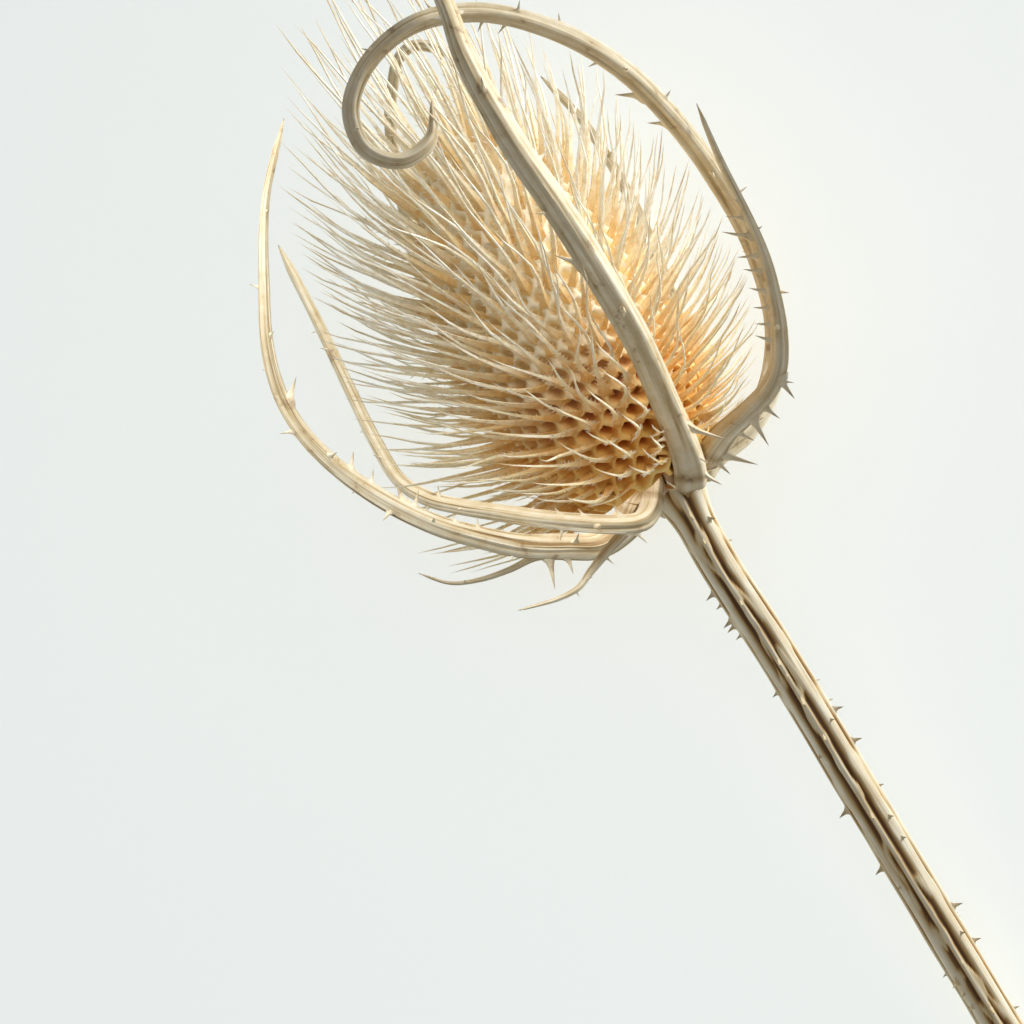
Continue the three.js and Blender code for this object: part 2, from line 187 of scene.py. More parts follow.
def placed_copy(pattern, matrix):
    twin = pattern.copy()
    twin.data = pattern.data.copy()
    twin.data.transform(matrix)
    bpy.context.scene.collection.objects.link(twin)
    return twin


def join_to(piece, others):
    select_only(piece, *others)
    bpy.ops.object.join()


def discard(*pieces):
    for piece in pieces:
        bpy.data.objects.remove(piece)


def lay_down(piece):
    """Turns the upright piece into its place on the surface, and cuts off what would go below it."""
    select_only(piece)
    piece.matrix_world = LYING
    bpy.ops.object.transform_apply(location=True, rotation=True, scale=True)
    if points_of(piece)[:, 2].min() < 0:
        edit_all(piece)
        bpy.ops.mesh.bisect(plane_co=(0, 0, 0), plane_no=(0, 0, 1), clear_inner=True, use_fill=True,
                            threshold=1e-7)
        leave_edit()
    select_only(piece)
    bpy.ops.object.shade_smooth_by_angle(angle=math.radians(50))


def finish_piece(piece, name, node, material):
    piece.name = name
    piece.data.name = name
    lay_down(piece)
    piece.data.materials.clear()
    piece.data.materials.append(material)
    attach(piece, "root")
    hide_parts(node)
    return piece


# Shapes of the plant

def smooth(value, low, high):
    share = np.clip((value - low) / (high - low), 0, 1)
    return share * share * (3 - 2 * share)


def around(azimuth, radius, height):
    return Vector((radius * math.cos(azimuth), radius * math.sin(azimuth), height))


def stem_radius(z):
    return STEM_RADIUS + (COLLAR_RADIUS - STEM_RADIUS) * smooth(z, STEM_TOP - COLLAR_HEIGHT, STEM_TOP)


def stem_bow(z):
    """How far the stem strays sideways from its straight line."""
    return -0.5 * math.exp(-((z + 13) / 9) ** 2)


def core_radius(z):
    from_widest = (np.asarray(z) - CORE_BOTTOM) / CORE_HEIGHT - CORE_WIDEST
    above = np.sqrt(np.maximum(0, 1 - (from_widest / (1 - CORE_WIDEST)) ** 2))
    below = np.maximum(0, 1 - np.abs(from_widest / (CORE_WIDEST + 0.05)) ** 3.2) ** 0.45
    return CORE_RADIUS * np.where(from_widest > 0, above, below)


def rib_twist(z):
    return 0.1 * np.sin(z / 23)


def height_above_floor(point):
    return (LYING @ Vector(point)).z * 1000


def in_picture(points):
    """Where the viewer sees the points, across and up the picture, as shares of their distance."""
    away = np.asarray(points) - VIEWER_AT
    return np.stack([away @ VIEW_RIGHT, away @ VIEW_UP], 1) / away[:, 1:2]


def bract_path(bract, step):
    """Points along a bract's midline, on a smooth spline through its route, and the share of the way
    of each: -1 at the foot, flat on the stem, 0 where the bract leaves the stem and 1 at the tip."""
    _, azimuth, height, _, _, route = BRACTS[bract]
    azimuth = math.radians(azimuth)
    foot = np.array(around(azimuth, BRACT_FOOT_RADIUS, height)) + (stem_bow(height), 0, 0)
    route = [np.array(p, float) for p in route]
    corners = [foot, foot + (route[0] - foot) * 0.5, *route]
    corners = [2 * corners[0] - corners[1], *corners, 2 * corners[-1] - corners[-2]]
    fine = []
    for a, b, c, d in zip(corners, corners[1:], corners[2:], corners[3:]):
        gap_1, gap_2, gap_3 = (math.sqrt(np.linalg.norm(q - p)) for p, q in ((a, b), (b, c), (c, d)))
        start = ((b - a) / gap_1 - (c - a) / (gap_1 + gap_2) + (c - b) / gap_2) * gap_2
        end = ((c - b) / gap_2 - (d - b) / (gap_2 + gap_3) + (d - c) / gap_3) * gap_2
        for t in np.linspace(0, 1, 40, endpoint=False):
            fine.append(b + start * t + (3 * (c - b) - 2 * start - end) * t ** 2
                        + (2 * (b - c) + start + end) * t ** 3)
    fine = np.array([*fine, corners[-2]])
    run = np.concatenate([[0], np.cumsum(np.linalg.norm(np.diff(fine, axis=0), axis=1))])
    wanted = np.linspace(0, run[-1], int(run[-1] / step))
    shares = np.interp(wanted, [0, run[40], run[-1]], [-1, 0, 1])
    return np.stack([np.interp(wanted, run, fine[:, k]) for k in range(3)], 1), shares


def bract_half_width(bract, shares):
    _, _, _, width, taper, _ = BRACTS[bract]
    foot = 0.3 + 0.88 * smooth(shares, -1, 0) - 0.18 * smooth(shares, 0, 0.12)
    point = np.minimum(1, (1.001 - shares) / 0.05) ** 0.7
    narrowing = taper * np.maximum(shares, 0) ** LATE_TAPERS.get(bract, 1)
    return width / 2 * foot * (1 - narrowing) * point


def bract_directions(path):
    """Along, inner and across directions at each point, turned as little as possible."""
    along = np.gradient(path, axis=0)
    along /= np.linalg.norm(along, axis=1)[:, None]
    inner, inners = np.array([0, 0, 1.0]), []
    for direction in along:
        inner = inner - direction * inner.dot(direction)
        inner /= np.linalg.norm(inner)
        inners.append(inner)
    inners = np.array(inners)
    return along, inners, np.cross(along, inners)


class Midline:
    """A bract's midline: its points, and the share of the way, half width and directions at each."""

    def __init__(self, bract, step):
        self.path, self.shares = bract_path(bract, step)
        self.half = bract_half_width(bract, self.shares)
        self.along, self.inner, self.across = bract_directions(self.path)


# Prickle and spine patterns, each modelled once

def drawn_out(sides, rings, half_widths):
    """A closed pointed body: a ring of the given number of sides, extruded from ring to ring.
    rings are centres; half_widths are the half sizes along X and Y at each."""
    bpy.ops.object.select_all(action="DESELECT")
    bpy.ops.mesh.primitive_circle_add(vertices=sides, radius=1, fill_type="NGON")
    body = bpy.context.object
    bpy.ops.object.mode_set(mode="EDIT")
    bpy.ops.mesh.select_all(action="SELECT")
    bpy.ops.transform.resize(value=(*half_widths[0], 1), center_override=(0, 0, 0))
    bpy.ops.transform.translate(value=rings[0])
    for (low, high), (thick, thin) in zip(zip(rings, rings[1:]), zip(half_widths, half_widths[1:])):
        step = tuple(b - a for a, b in zip(low, high))
        bpy.ops.mesh.extrude_region_move(TRANSFORM_OT_translate={"value": step})
        bpy.ops.transform.resize(value=(thin[0] / thick[0], thin[1] / thick[1], 1), center_override=high)
    bpy.ops.mesh.merge(type="CENTER")
    bpy.ops.mesh.select_all(action="SELECT")
    bpy.ops.mesh.normals_make_consistent(inside=False)
    leave_edit()
    return body


def make_prickle():
    """A thorn 1 long on a wide foot that runs along X, with its point leaning a little to +X."""
    rings = [(0, 0, -0.2), (0, 0, 0.02), (0, 0, 0.14), (0.02, 0, 0.32), (0.06, 0, 0.62), (0.12, 0, 1)]
    sizes = [(0.5, 0.3), (0.36, 0.22), (0.21, 0.15), (0.115, 0.1), (0.065, 0.06), (0.012, 0.012)]
    prickle = drawn_out(6, rings, sizes)
    heights = points_of(prickle)[:, 2]
    note_values(prickle, "tip", np.clip(heights, 0, 1))
    note_values(prickle, "ridge", np.full(len(heights), 0.8))
    note_values(prickle, "root", np.zeros(len(heights)))
    note_values(prickle, "grain", np.random.default_rng(3).random((len(heights), 3)), "FLOAT_VECTOR")
    return prickle


def make_spine(bend, wave, teeth, tooth_length, comb_share):
    """A stiff spine SIDE_SPINE long up +Z, bent outwards along +X and back, with a comb on each edge
    of its lower part."""
    shares = [-0.09, 0.0, 0.08, 0.18, 0.33, 0.5, 0.67, 0.84, 1.0]
    wide = [1.15, 1.0, 0.74, 0.5, 0.31, 0.21, 0.16, 0.105, 0.015]
    thick = [0.6, 0.55, 0.44, 0.32, 0.22, 0.17, 0.135, 0.09, 0.015]

    def midline(t):
        lean = 0.12 * t - 0.2 * t * t
        curl = wave * math.sin(5 * t) * t
        return (bend * lean * SIDE_SPINE + 0.6 * curl, curl, t * SIDE_SPINE)

    spine = drawn_out(4, [midline(t) for t in shares], list(zip(thick, wide)))
    heights = points_of(spine)[:, 2] / SIDE_SPINE
    note_values(spine, "along", np.clip(heights, 0, 1))
    note_values(spine, "tooth", np.zeros(len(heights)))
    comb = []
    for side in (-1, 1):
        for k in range(teeth):
            t = 0.1 + comb_share * (k + 0.25 * side) / teeth
            edge = np.interp(t, shares, wide)
            x, y, z = midline(t)
            length = tooth_length * (1 - 0.5 * t)
            bpy.ops.object.select_all(action="DESELECT")
            bpy.ops.mesh.primitive_cone_add(vertices=3, radius1=0.085, depth=length,
                                            end_fill_type="NOTHING", location=(0, 0, length / 2 - 0.05))
            tooth = bpy.context.object
            bpy.ops.object.transform_apply(location=True)
            tooth.matrix_world = (Matrix.Translation((x, y + side * (edge - 0.04), z))
                                  @ Matrix.Rotation(-side * math.radians(52), 4, "X")
                                  @ Matrix.Rotation(0.3 * math.sin(5 * k), 4, "Y"))
            bpy.ops.object.transform_apply(location=True, rotation=True)
            rows = len(tooth.data.vertices)
            note_values(tooth, "along", np.full(rows, t))
            note_values(tooth, "tooth", np.ones(rows))
            comb.append(tooth)
    join_to(spine, comb)
    return spine


# Finishes

class Finish:
    """A matt plant material, with shorthand for the nodes that colour it."""

    def __init__(self, name, roughness):
        self.material = bpy.data.materials.new(name)
        self.material.use_nodes = True
        self.nodes = self.material.node_tree.nodes
        self.links = self.material.node_tree.links
        self.shader = self.nodes["Principled BSDF"]
        self.shader.inputs["Roughness"].default_value = roughness
        self.shader.inputs["Specular IOR Level"].default_value = 0.3
        self.place = self.nodes.new("ShaderNodeTexCoord").outputs["Object"]

    def value(self, attribute, output="Fac"):
        node = self.nodes.new("ShaderNodeAttribute")
        node.attribute_name = attribute
        return node.outputs[output]

    def speckle(self, scale, detail=4, vector=None, rough=0.55):
        node = self.nodes.new("ShaderNodeTexNoise")
        node.inputs["Scale"].default_value = scale
        node.inputs["Detail"].default_value = detail
        node.inputs["Roughness"].default_value = rough
        self.links.new(vector or self.place, node.inputs["Vector"])
        return node.outputs["Fac"]

    def ramp(self, value, stops):
        node = self.nodes.new("ShaderNodeValToRGB")
        bar = node.color_ramp.elements
        while len(bar) < len(stops):
            bar.new(0.5)
        for element, (at, color) in zip(bar, stops):
            element.position = at
            element.color = (*color, 1) if len(color) == 3 else color
        self.links.new(value, node.inputs["Fac"])
        return node.outputs["Color"]

    def blend(self, how, amount, first, second):
        node = self.nodes.new("ShaderNodeMix")
        node.data_type, node.blend_type = "RGBA", how
        for socket, item in (("Factor", amount), ("A", first), ("B", second)):
            target = next(s for s in node.inputs if s.name == socket and s.enabled)
            if isinstance(item, bpy.types.NodeSocket):
                self.links.new(item, target)
            else:
                target.default_value = item
        return next(s for s in node.outputs if s.enabled)

    def sums(self, how, first, second):
        node = self.nodes.new("ShaderNodeMath")
        node.operation = how
        for target, item in zip(node.inputs, (first, second)):
            if isinstance(item, bpy.types.NodeSocket):
                self.links.new(item, target)
            else:
                target.default_value = item
        return node.outputs["Value"]

    def color(self, socket):
        self.links.new(socket, self.shader.inputs["Base Color"])

    def let_light_through(self, share, depth):
        self.shader.inputs["Subsurface Weight"].default_value = share
        self.shader.inputs["Subsurface Radius"].default_value = (1, 0.75, 0.45)
        self.shader.inputs["Subsurface Scale"].default_value = depth

    def bump(self, height, strength, distance):
        node = self.nodes.new("ShaderNodeBump")
        node.inputs["Strength"].default_value = strength
        node.inputs["Distance"].default_value = distance
        self.links.new(height, node.inputs["Height"])
        self.links.new(node.outputs["Normal"], self.shader.inputs["Normal"])


def shade(red, green, blue):
    """A colour as it looks on a screen, 0 to 255, as linear light."""
    return tuple(((level / 255 + 0.055) / 1.055) ** 2.4 for level in (red, green, blue))


def stalk_finish():
    finish = Finish("dry_stalk", 0.6)
    streaks = finish.speckle(1.0, 6, finish.value("grain", "Vector"))
    # Dark brown in the grooves and cream on the ribs: painted shade in the grooves
    level = finish.sums("ADD", finish.value("ridge"), finish.sums("MULTIPLY", finish.sums(
        "SUBTRACT", streaks, 0.5), 0.5))
    bark_and_groove_shade = finish.ramp(level, [
        (0.0, shade(104, 74, 46)), (0.25, shade(146, 114, 72)), (0.5, shade(200, 162, 102)),
        (0.75, shade(226, 211, 172)), (1.0, shade(247, 240, 218))])
    blotches = finish.ramp(finish.speckle(160), [(0.35, shade(226, 204, 164)), (0.65, (1, 1, 1))])
    blotched_bark_and_groove_shade = finish.blend("MULTIPLY", 0.5, bark_and_groove_shade, blotches)
    tips = finish.ramp(finish.value("tip"), [(0.4, (0, 0, 0)), (1.0, (0.7, 0.7, 0.7))])
    finish.color(finish.blend("MIX", tips, blotched_bark_and_groove_shade, (*shade(140, 124, 92), 1)))
    finish.bump(streaks, 0.5, 0.0003)
    return finish.material


def bract_finish():
    finish = Finish("pale_bract", 0.6)
    streaks = finish.speckle(1.0, 6, finish.value("grain", "Vector"))
    # Lighter on the crests and darker in the dents of the flutes, creases and fine lines: painted shade in
    # the dents
    level = finish.sums("ADD", finish.value("ridge"), finish.sums("MULTIPLY", finish.sums(
        "SUBTRACT", streaks, 0.5), 0.8))
    straw = finish.ramp(level, [
        (0.0, shade(156, 130, 92)), (0.28, shade(200, 184, 148)), (0.55, shade(223, 211, 182)),
        (0.9, shade(234, 226, 203))])
    flecks = finish.ramp(finish.speckle(420, 5), [
        (0.31, shade(150, 110, 74)), (0.38, shade(236, 224, 200)), (0.6, (1, 1, 1))])
    flecked_straw_and_groove_shade = finish.blend("MULTIPLY", 0.6, straw, flecks)
    # Darker at the foot and in a ring where the bract leaves the stem: partly the browner foot, partly
    # painted shade under the head
    foot_tint_and_shade = finish.blend("MULTIPLY", finish.value("root"), flecked_straw_and_groove_shade, (*shade(186, 164, 128), 1))
    tips = finish.ramp(finish.value("tip"), [(0.45, (0, 0, 0)), (1.0, (0.8, 0.8, 0.8))])
    finish.color(finish.blend("MIX", tips, foot_tint_and_shade, (*shade(150, 116, 76), 1)))
    finish.bump(streaks, 0.45, 0.00025)
    return finish.material


def cell_finish():
    finish = Finish("amber_cells", 0.55)
    mottle = finish.speckle(500, 4)
    # Pits darker than walls, and darker and more orange low on the head: partly the cells' own amber,
    # partly painted shade in the pits and under the head
    level = finish.sums("ADD", finish.value("relief"), finish.sums("MULTIPLY", finish.sums(
        "SUBTRACT", mottle, 0.5), 0.3))
    low = finish.ramp(level, [
        (0.0, shade(164, 78, 32)), (0.3, shade(212, 130, 54)), (0.6, shade(240, 180, 88)),
        (0.85, shade(245, 194, 100)), (1.0, shade(247, 208, 124))])
    high = finish.ramp(level, [
        (0.0, shade(242, 214, 158)), (0.5, shade(247, 228, 182)), (1.0, shade(250, 242, 218))])
    finish.color(finish.blend("MIX", finish.value("height"), low, high))
    finish.bump(mottle, 0.4, 0.0002)
    return finish.material


def spine_finish():
    finish = Finish("straw_spines", 0.55)
    drift = finish.sums("MULTIPLY", finish.sums("SUBTRACT", finish.value("tone"), 0.5), 0.3)
    level = finish.sums("ADD", finish.value("along"), drift)
    low = finish.ramp(level, [
        (0.0, shade(238, 190, 112)), (0.14, shade(243, 207, 142)), (0.4, shade(248, 228, 182)),
        (0.8, shade(250, 241, 216)), (1.0, shade(206, 180, 138))])
    high = finish.ramp(level, [
        (0.0, shade(244, 214, 156)), (0.14, shade(248, 230, 190)), (0.34, shade(250, 242, 220)),
        (0.75, shade(250, 247, 236)), (1.0, shade(212, 194, 160))])
    straw = finish.blend("MIX", finish.value("height"), low, high)
    pale = finish.blend("MIX", finish.value("tooth"), straw, (*shade(251, 243, 220), 1))
    flecks = finish.ramp(finish.speckle(700, 3), [(0.3, shade(214, 184, 136)), (0.55, (1, 1, 1))])
    finish.color(finish.blend("MULTIPLY", 0.5, pale, flecks))
    finish.bump(finish.speckle(1500, 3), 0.3, 0.0001)
    finish.let_light_through(0.35, 0.0004)
    return finish.material


# Pieces

def stem_noise(azimuth, z, stretch):
    spots = zip(3 * np.cos(azimuth), 3 * np.sin(azimuth), z * stretch)
    return np.array([noise.noise(spot) for spot in spots])


def stem_ridge(azimuth, z):
    """1 on a rib of the stem and 0 in a groove, where the finish paints shade; here and there a bridge
    fills the groove.
    """
    ridge = np.zeros(len(z))
    for rib, half_width in STEM_RIBS:
        away = np.angle(np.exp(1j * (azimuth - math.radians(rib) - rib_twist(z))))
        ridge = np.maximum(ridge, np.exp(-(away / math.radians(half_width)) ** 4))
    bridges = smooth(stem_noise(azimuth, z, 0.26), 0.04, 0.3)
    return ridge + (1 - ridge) * 0.75 * bridges


def make_stem(prickle):
    """The ribbed stalk: a circle drawn out upwards, widened into the collar that the head sits on,
    hollow at the cut end, with its grooves pressed in and its prickles."""
    bpy.ops.object.select_all(action="DESELECT")
    bpy.ops.mesh.primitive_circle_add(vertices=96, radius=STEM_RADIUS, fill_type="NGON")
    stalk = bpy.context.object
    levels = [float(z) for z in np.linspace(-STEM_LENGTH, STEM_TOP, 140)] + [STEM_TOP + SOCKET_DEPTH]
    edit_all(stalk)
    bpy.ops.transform.translate(value=(stem_bow(levels[0]), 0, levels[0]))
    for low, high in zip(levels, levels[1:]):
        bpy.ops.mesh.extrude_region_move(
            TRANSFORM_OT_translate={"value": (stem_bow(high) - stem_bow(low), 0, high - low)})
        grow = float(stem_radius(high) / stem_radius(low)) if high <= STEM_TOP else 0.8
        bpy.ops.transform.resize(value=(grow, grow, 1), center_override=(stem_bow(high), 0, high))
    leave_edit()
    edit_vertices(stalk, points_of(stalk)[:, 2] < -STEM_LENGTH + 0.01)
    bpy.ops.mesh.select_mode(type="FACE")
    bpy.ops.mesh.inset(thickness=0.9)
    bpy.ops.mesh.extrude_region_move(TRANSFORM_OT_translate={"value": (0, 0, 14)})
    bpy.ops.mesh.select_all(action="SELECT")
    bpy.ops.mesh.normals_make_consistent(inside=False)
    leave_edit()

    points = points_of(stalk)
    z = points[:, 2]
    centre = np.array([stem_bow(h) for h in z])
    azimuth = np.arctan2(points[:, 1], points[:, 0] - centre)
    outside = np.hypot(points[:, 0] - centre, points[:, 1]) > STEM_RADIUS * 0.85
    ridge = stem_ridge(azimuth, z)
    wrinkle = stem_noise(azimuth, z, 0.12)
    swell = np.where(outside, 1 - GROOVE_DEPTH * (1 - ridge) + 0.04 * wrinkle, 1)
    points[:, 0] = centre + (points[:, 0] - centre) * swell
    points[:, 1] *= swell
    move_points(stalk, points)
    # Ribs and grooves, for the finish, which paints shade in the grooves
    note_values(stalk, "ridge", ridge * outside)
    note_values(stalk, "tip", np.zeros(len(points)))
    note_values(stalk, "root", np.zeros(len(points)))
    grain = np.stack([6 * np.cos(azimuth), 6 * np.sin(azimuth), z * 0.12], 1)
    note_values(stalk, "grain", grain, "FLOAT_VECTOR")

    chance = random.Random(5)
    prickles = []
    for i in range(STEM_PRICKLES):
        z = -STEM_LENGTH + 3 + (i + chance.random()) / STEM_PRICKLES * (STEM_LENGTH - 8)
        azimuth = math.radians(chance.choice(STEM_RIBS)[0]) + rib_twist(z)
        size = chance.uniform(0.7, 1.6)
        outwards = around(azimuth, 1, 0)
        foot = outwards * (float(stem_radius(z)) - 0.12) + Vector((stem_bow(z), 0, z))
        downwards = Vector((0, 0, -1))
        lie = Matrix((downwards, outwards.cross(downwards), outwards)).transposed().to_4x4()
        prickles.append(placed_copy(prickle, Matrix.Translation(foot) @ lie
                                    @ Matrix.Diagonal((size * 1.9, size * 0.9, size, 1))))
    join_to(stalk, prickles)
    return stalk


def bract_section(sides, turns):
    """A bract's fluted outline, as a curve."""
    bpy.ops.object.select_all(action="DESELECT")
    bpy.ops.curve.primitive_bezier_circle_add(radius=1)
    section = bpy.context.object
    section.data.splines.clear()
    outline = section.data.splines.new("POLY")
    outline.points.add(sides - 1)
    outline.use_cyclic_u = True
    for k, point in enumerate(outline.points):
        angle = 2 * math.pi * k / sides
        reach = (0.97 + 0.035 * math.cos(4 * angle + turns[0]) + 0.022 * math.cos(7 * angle + turns[1])
                 + 0.016 * math.cos(11 * angle + turns[2]))
        point.co = (reach * math.cos(angle), reach * math.sin(angle), 0, 1)
    section.data.dimensions = "2D"
    return section


def drawn_along(line, section):
    """The section drawn along a bract's midline, as wide as the bract is at each point."""
    bpy.ops.object.select_all(action="DESELECT")
    bpy.ops.curve.primitive_nurbs_path_add()
    stalk = bpy.context.object
    stalk.data.splines.clear()
    spline = stalk.data.splines.new("POLY")
    spline.points.add(len(line.path) - 1)
    spline.points.foreach_set("co", np.c_[line.path, np.ones(len(line.path))].ravel())
    spline.points.foreach_set("radius", line.half)
    stalk.data.dimensions = "3D"
    stalk.data.twist_mode = "MINIMUM"
    stalk.data.bevel_mode = "OBJECT"
    stalk.data.bevel_object = section
    stalk.data.use_fill_caps = True
    select_only(stalk)
    bpy.ops.object.convert(target="MESH")
    stalk = bpy.context.object
    edit_all(stalk)
    bpy.ops.mesh.remove_doubles(threshold=0.0005)
    bpy.ops.mesh.normals_make_consistent(inside=False)
    leave_edit()
    return stalk


def shape_bract(bract, stalk, line, start):
    """Flattens the stalk's sides, creases and lines it, and presses its foot onto the stem."""
    points = points_of(stalk)
    nearest = np.array([np.argmin(((line.path - p) ** 2).sum(1)) for p in points])
    shares, along, half = line.shares[nearest], line.along[nearest], line.half[nearest]
    offset = points - line.path[nearest]
    flute = np.linalg.norm(offset, axis=1) / np.maximum(half, 0.05) - 0.97
    angle = np.arctan2((offset * line.inner[nearest]).sum(1), (offset * line.across[nearest]).sum(1))
    spots = np.stack([np.cos(angle), np.sin(angle), nearest * BRACT_STEP * 0.05], 1) + start
    crease = np.array([noise.fractal((2.2 * x, 2.2 * y, 2 * z), 1.0, 2.0, 3) for x, y, z in spots])
    lines = np.array([noise.noise((9 * x, 9 * y, z)) for x, y, z in spots])
    depth = LINE_DEPTHS.get(bract, 0.03)
    reach = np.ones(len(points))
    turned = angle - math.radians(FACET_TURNS.get(bract, 0)) * shares
    for facing, distance in BRACT_FACETS:
        reach = np.minimum(reach, distance / np.maximum(np.cos(turned - math.radians(facing)), 0.3))
    offset *= (reach + 0.055 * crease + depth * lines)[:, None]
    off_stem = np.array(around(math.radians(BRACTS[bract][1]), 1, 0))
    off_stem = off_stem - along * (along @ off_stem)[:, None]
    off_stem /= np.linalg.norm(off_stem, axis=1)[:, None]
    pressed = 0.85 * (1 - smooth(shares, -0.95, 0)) * (offset * off_stem).sum(1)
    move_points(stalk, line.path[nearest] + offset - off_stem * pressed[:, None])
    # Crests lighter and dents darker in the finish: painted shade in the flutes, creases and fine lines
    note_values(stalk, "ridge", 0.55 + 4 * flute + 0.35 * crease + 8 * depth * lines)
    note_values(stalk, "tip", np.zeros(len(points)))
    # The foot and a narrow ring are darkened in the finish: partly the browner foot, partly painted shade
    # under the head
    ring = 0.8 * np.exp(-((shares - 0.02) / 0.008) ** 2)
    note_values(stalk, "root", np.maximum(1 - smooth(shares, -0.3, 0.1), ring))
    note_values(stalk, "grain", spots * (4, 4, 3), "FLOAT_VECTOR")


def grown_prickle(prickle, line, share, heading, length):
    """One prickle, pointing the given way from the bract's surface."""
    spot = min(int(np.searchsorted(line.shares, share)), len(line.path) - 1)
    forward = Vector(line.along[spot])
    outwards = (heading - forward * heading.dot(forward)).normalized()
    foot = Vector(line.path[spot]) + outwards * (line.half[spot] * 0.72)
    side = heading.cross(forward).normalized()
    lie = Matrix((side.cross(heading), side, heading)).transposed().to_4x4()
    wide = min(1, 0.35 + line.half[spot] / 2) * min(max(length, 1.6), 3.2)
    size = Matrix.Diagonal((wide, wide, length, 1))
    return placed_copy(prickle, Matrix.Translation(foot) @ lie @ size)


def bract_prickles(bract, prickle, line, chance):
    """The large prickles, and smaller ones scattered over both edges and the keel."""
    prickles = []
    for share, heading, length in SINGLE_PRICKLES.get(bract, []):
        heading = math.radians(heading)
        towards = VIEW_RIGHT * math.cos(heading) + VIEW_UP * math.sin(heading)
        prickles.append(grown_prickle(prickle, line, share, towards, length))
    count = PRICKLE_COUNTS[bract]
    for i in range(count):
        share = 0.05 + 0.85 * (i + 0.7 * chance.random()) / count
        spot = int(np.searchsorted(line.shares, share))
        turn = math.radians((0, 180, -90)[i % 3] + chance.uniform(-25, 25))
        towards = Vector(line.across[spot] * math.cos(turn) + line.inner[spot] * math.sin(turn)
                         + line.along[spot] * chance.uniform(-0.2, 0.4)).normalized()
        length = min(1, 0.25 + line.half[spot] / 2) * chance.uniform(1.2, 2.6)
        prickles.append(grown_prickle(prickle, line, share, towards, length))
    return prickles


def make_bract(bract, prickle):
    """A fluted stalk along the bract's midline, with its prickles."""
    line = Midline(bract, BRACT_STEP)
    chance = random.Random(bract)
    turns = [chance.uniform(0, 6.28) for _ in range(4)]
    section = bract_section(56 if line.half.max() > 1.5 else 36, turns)
    stalk = drawn_along(line, section)
    discard(section)
    shape_bract(bract, stalk, line, turns[3])
    join_to(stalk, bract_prickles(bract, prickle, line, chance))
    return stalk


def cell_heights(count):
    """Heights that split the core's surface into equal areas, one for each spine."""
    z = np.linspace(CORE_BOTTOM, CORE_BOTTOM + CORE_HEIGHT, 600)
    radius = core_radius(z)
    areas = np.concatenate([[0], np.cumsum((radius[1:] + radius[:-1]) / 2
                                           * np.hypot(np.diff(z), np.diff(radius)))])
    return np.interp(areas[-1] * (np.arange(count) + 0.5) / count, areas, z)


def cell_centres():
    heights = cell_heights(SPINES)
    azimuths = np.arange(SPINES) * GOLDEN_ANGLE
    radius = core_radius(heights)
    return azimuths, heights, np.stack([radius * np.cos(azimuths) + CORE_SHIFT, radius * np.sin(azimuths),
                                        heights], 1)


def make_core():
    """The egg-shaped core, with a pit for each floret between raised walls."""
    segments, rings = 300, 230
    bpy.ops.object.select_all(action="DESELECT")
    bpy.ops.mesh.primitive_uv_sphere_add(segments=segments, ring_count=rings, radius=1)
    core = bpy.context.object
    ball = points_of(core)
    z = CORE_BOTTOM + CORE_HEIGHT * (ball[:, 2] + 1) / 2
    azimuth = np.arctan2(ball[:, 1], ball[:, 0])
    radius = core_radius(z)
    skin = np.stack([radius * np.cos(azimuth) + CORE_SHIFT, radius * np.sin(azimuth), z], 1)
    _, _, centres = cell_centres()
    nearest, second = np.empty(len(skin)), np.empty(len(skin))
    for start in range(0, len(skin), 4000):
        part = slice(start, start + 4000)
        far = np.linalg.norm(skin[part, None] - centres[None], axis=2)
        far.partition(1, axis=1)
        nearest[part], second[part] = far[:, 0], far[:, 1]
    wall = 1 - smooth(second - nearest, 0.45, 1.6)
    height = smooth(z, 7, 26)
    outwards = skin - np.array([CORE_SHIFT, 0, CORE_BOTTOM + CORE_HEIGHT * CORE_WIDEST])
    outwards /= np.linalg.norm(outwards, axis=1)[:, None]
    move_points(core, skin + outwards * ((2.3 * wall - 2.0) * (1 - 0.5 * height))[:, None])
    # Walls and pits, and the height on the head, for the finish's painted shade in the pits and under the
    # head
    note_values(core, "relief", wall)
    note_values(core, "height", height)
    edit_all(core)
    bpy.ops.mesh.normals_make_consistent(inside=False)
    leave_edit()
    return core


def spine_lie(azimuth, z, swing):
    """How a spine's pattern is turned: level at the foot of the head, upright at its top."""
    u = (z - CORE_BOTTOM) / CORE_HEIGHT
    slope = math.radians(92) * (1 - u) ** 0.75
    heading = around(azimuth + swing, math.sin(slope), math.cos(slope))
    outwards = around(azimuth + swing, math.cos(slope), -math.sin(slope))
    return Matrix((outwards, heading.cross(outwards), heading)).transposed().to_4x4()


def spine_place(root, azimuth, z, swing, tilt, roll, long):
    return (Matrix.Translation(root) @ spine_lie(azimuth, z, swing) @ tilt @ roll
            @ Matrix.Diagonal((min(long, 1.3), 1, long, 1)))


def spine_clearance():
    """Gives a test for a spine's place. It is clear if the spine meets no bract or floor, and passes in
    front of none of the bracts shown."""
    bracts = {bract: Midline(bract, 1.0) for bract in BRACTS}
    blockers = np.concatenate([line.path for line in bracts.values()])
    sizes = np.concatenate([line.half for line in bracts.values()]) + 0.45
    shown = np.concatenate([bracts[bract].path for bract in SHOWN_BRACTS])
    shown_half = np.concatenate([bracts[bract].half for bract in SHOWN_BRACTS]) / -VIEWER_AT.y
    shown_at = in_picture(shown)
    samples = [Vector((0, 0, SIDE_SPINE * t)) for t in (0.15, 0.25, 0.4, 0.55, 0.7, 0.85, 1)]

    def is_clear(matrix):
        spots = np.array([matrix @ p for p in samples])
        gaps = np.linalg.norm(spots[1:, None] - blockers[None], axis=2) - sizes[None]
        if gaps.min() <= 0 or min(height_above_floor(p) for p in spots) < 0.5:
            return False
        apart = np.linalg.norm(in_picture(spots)[:, None] - shown_at[None], axis=2)
        over = (apart < shown_half[None]) & (spots[:, 1, None] < shown[None, :, 1])
        return not over.any()

    return is_clear


